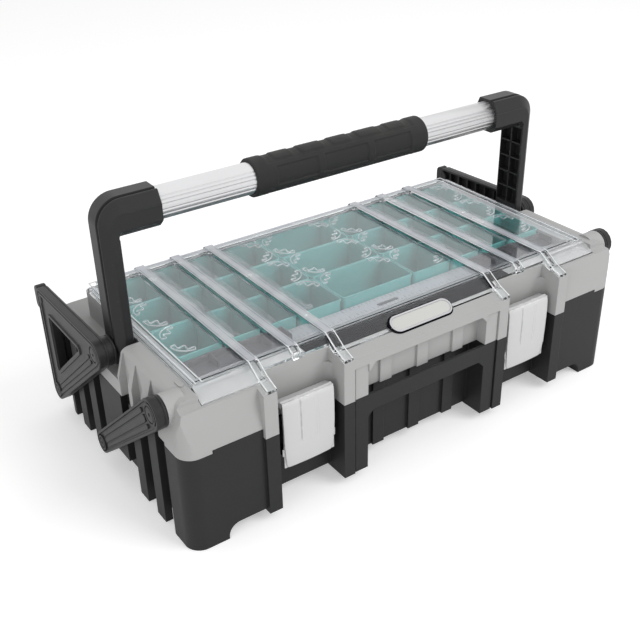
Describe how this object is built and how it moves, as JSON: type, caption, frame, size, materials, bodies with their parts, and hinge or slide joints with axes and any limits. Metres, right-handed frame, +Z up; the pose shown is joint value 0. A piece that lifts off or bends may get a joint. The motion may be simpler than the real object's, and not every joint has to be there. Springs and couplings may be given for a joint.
{
  "type": "tool case",
  "caption": "Cantilever tool case: deep base, swinging organiser case with removable cups under a clear lid, front latches and a fold-down handle.",
  "frame": {"origin": "middle of the footprint on the floor, under the middle of the whole size", "axes": "+X along the length to the right, -Y towards the front with the latches, +Z up"},
  "size_m": [0.563, 0.304, 0.2928],
  "materials": {
    "charcoal plastic": "fine matt",
    "grey plastic": "fine matt",
    "black plastic": "satin",
    "teal plastic": "gloss",
    "clear plastic": "clear",
    "pale plastic": "matt",
    "silver plastic": "satin",
    "silver plate": "satin",
    "bright trim": "bright",
    "aluminium": "satin anodised",
    "grip rubber": "matt",
    "steel": "drawn"
  },
  "bodies": {
    "base": {"base_tub": "charcoal plastic", "base_pin_front_left": "steel", "base_pin_front_right": "steel", "base_pin_rear_left": "steel", "base_pin_rear_right": "steel", "latch_pin_left": "steel", "latch_pin_right": "steel"},
    "case": {"organiser_case": "grey plastic", "case_pin_front_left": "steel", "case_pin_front_right": "steel", "case_pin_rear_left": "steel", "case_pin_rear_right": "steel", "ruler": "pale plastic", "badge_band": "black plastic", "lid_rod": "steel", "cup_1_1": "teal plastic", "cup_1_2": "teal plastic", "cup_1_3": "teal plastic", "cup_2_1": "teal plastic", "cup_2_2": "teal plastic", "cup_2_3": "teal plastic", "cup_3_1": "teal plastic", "cup_3_2": "teal plastic", "cup_3_3": "teal plastic", "cup_4_1": "teal plastic", "cup_4_2": "teal plastic", "cup_4_3": "teal plastic", "cup_5_1": "teal plastic", "cup_5_2": "teal plastic", "cup_5_3": "teal plastic", "cup_6_1": "teal plastic", "cup_6_2": "teal plastic", "cup_6_3": "teal plastic", "cup_7_1": "teal plastic", "cup_7_2": "teal plastic", "cup_7_3": "teal plastic", "cup_8_1": "teal plastic", "cup_8_2": "teal plastic", "cup_8_3": "teal plastic", "cup_9_1": "teal plastic", "cup_9_2": "teal plastic", "cup_9_3": "teal plastic"},
    "lid": {"lid": "clear plastic", "badge_rim": "bright trim", "badge_plate": "silver plate"},
    "latch_left": {"latch_left": "silver plastic"},
    "latch_right": {"latch_right": "silver plastic"},
    "handle": {"arm_left": "black plastic", "arm_right": "black plastic", "tube": "aluminium", "grip": "grip rubber"},
    "rear_links": {"rear_link_left": "black plastic", "rear_link_right": "black plastic"},
    "front_links": {"front_link_left": "black plastic", "front_link_right": "black plastic"}
  },
  "joints": [
    {"name": "case_swing", "type": "hinge", "parent": "base", "child": "rear_links", "pos_m": [0, 0.1331, 0.031], "axis": [-1, 0, 0], "range_deg": [0, 95]},
    {"name": "front_links_swing", "type": "hinge", "parent": "base", "child": "front_links", "pos_m": [0, 0.0157, 0.031], "axis": [-1, 0, 0], "range_deg": [0, 95]},
    {"name": "case_level", "type": "hinge", "parent": "rear_links", "child": "case", "pos_m": [0, 0, 0.142], "axis": [-1, 0, 0], "range_deg": [-95, 0]},
    {"name": "lid_hinge", "type": "hinge", "parent": "case", "child": "lid", "pos_m": [0, 0.1065, 0.151], "axis": [-1, 0, 0], "range_deg": [0, 37]},
    {"name": "handle_fold", "type": "hinge", "parent": "case", "child": "handle", "pos_m": [0, 0, 0.142], "axis": [-1, 0, 0], "range_deg": [0, 90]},
    {"name": "latch_left_swing", "type": "hinge", "parent": "base", "child": "latch_left", "pos_m": [-0.14, -0.139, 0.0565], "axis": [1, 0, 0], "range_deg": [0, 90]},
    {"name": "latch_right_swing", "type": "hinge", "parent": "base", "child": "latch_right", "pos_m": [0.14, -0.139, 0.0565], "axis": [1, 0, 0], "range_deg": [0, 90]}
  ],
  "couplings": [
    {"joint": "front_links_swing", "follows": "case_swing", "ratio": 1},
    {"joint": "case_level", "follows": "case_swing", "ratio": -1}
  ]
}
